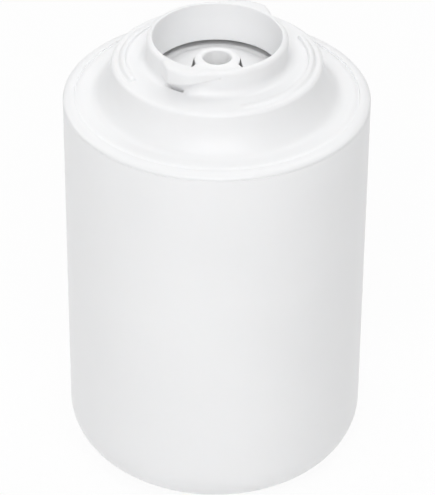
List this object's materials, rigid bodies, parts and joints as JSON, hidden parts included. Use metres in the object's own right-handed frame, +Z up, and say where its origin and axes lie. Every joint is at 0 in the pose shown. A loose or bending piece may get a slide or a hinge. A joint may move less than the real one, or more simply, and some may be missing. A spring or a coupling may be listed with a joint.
{
  "type": "faucet water filter cartridge",
  "caption": "Round white water filter cartridge with a stepped cap, a short bayonet neck with helical lugs and a central outlet port.",
  "frame": {"origin": "centre of the flat base", "axes": "+Z runs up the cartridge's axis towards the neck; -Y faces the camera of the picture"},
  "size_m": [0.07, 0.07, 0.1095],
  "materials": {
    "shell_plastic": "semi-gloss white",
    "cap_plastic": "semi-gloss white",
    "insert_plastic": "semi-gloss white",
    "end_cap_plastic": "natural",
    "carbon": "porous black",
    "fleece": "non-woven",
    "net_plastic": "translucent white",
    "core_plastic": "natural",
    "seal_rubber": "matt black"
  },
  "bodies": {
    "root": {"shell": "shell_plastic", "cap": "cap_plastic", "port_insert": "insert_plastic", "upper_end_cap": "end_cap_plastic", "lower_end_cap": "end_cap_plastic", "carbon_block": "carbon", "prefilter_wrap": "fleece", "net_sleeve": "net_plastic", "core_tube": "core_plastic", "core_fleece": "fleece", "spigot_o_rings": "seal_rubber"}
  },
  "joints": []
}
